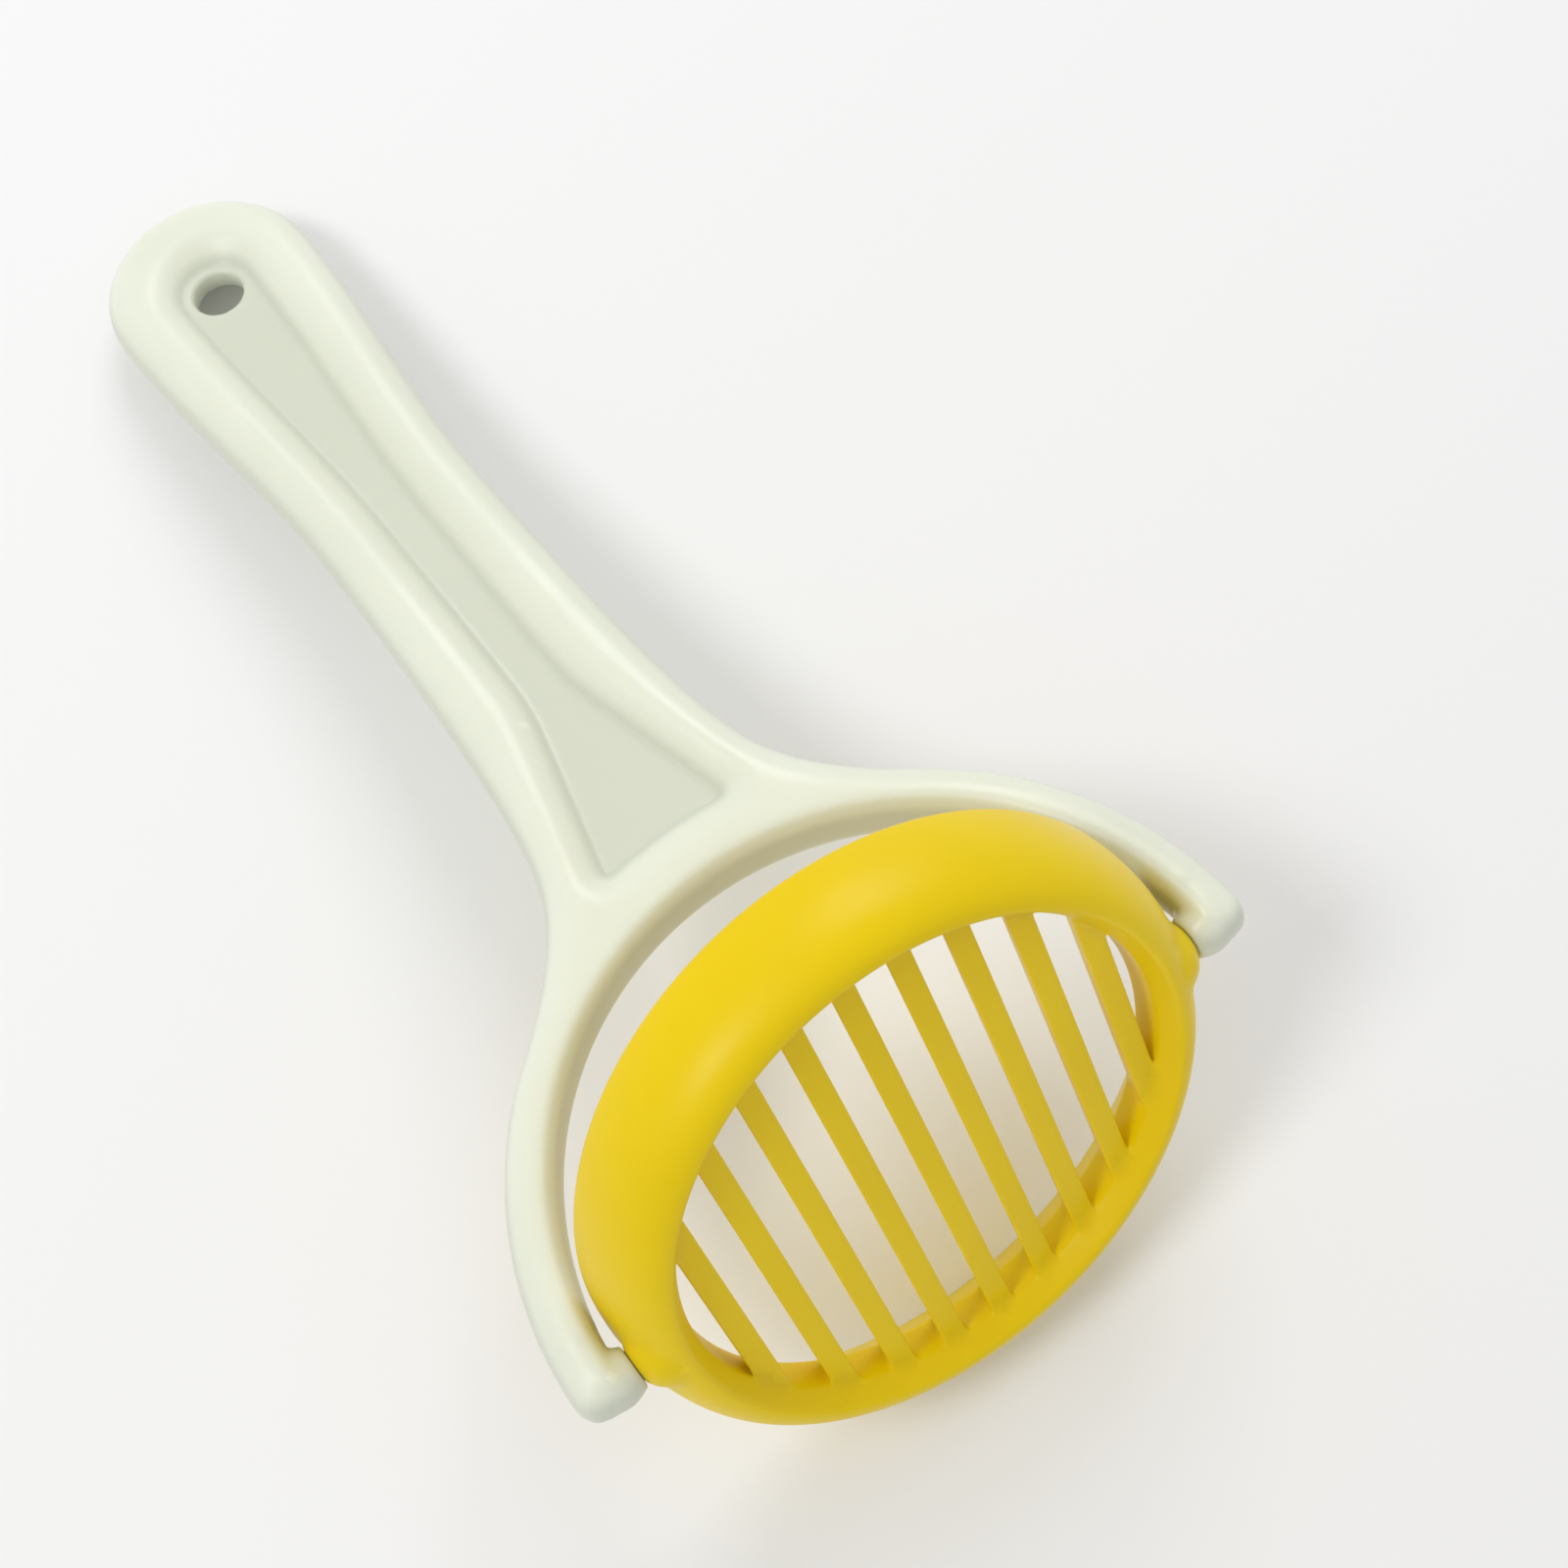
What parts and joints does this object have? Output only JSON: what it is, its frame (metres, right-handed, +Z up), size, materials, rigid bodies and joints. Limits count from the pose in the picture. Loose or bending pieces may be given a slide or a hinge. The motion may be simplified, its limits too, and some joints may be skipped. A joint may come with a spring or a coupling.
{
  "type": "egg slicer",
  "caption": "Hand-held egg slicer with a round barred head that turns between the arms of a forked handle.",
  "frame": {"origin": "centre of the bounding box at the height of the surface that the slicer lies on, with the rim's lower edge and the handle's end touching it", "axes": "+Z up, +Y towards the handle's hanging end, X along the head's pivot axis"},
  "size_m": [0.088, 0.1856, 0.0658],
  "materials": {
    "handle_plastic": "smooth creamy white moulded plastic, slightly translucent at thin edges",
    "head_plastic": "smooth yellow moulded plastic, satin gloss"
  },
  "bodies": {
    "handle": {"handle": "handle_plastic"},
    "slicing_head": {"slicing_head": "head_plastic"}
  },
  "joints": [
    {"name": "head_swivel", "type": "hinge", "parent": "handle", "child": "slicing_head", "pos_m": [0, -0.07181, 0.03492], "axis": [1, 0, 0], "continuous": true}
  ]
}
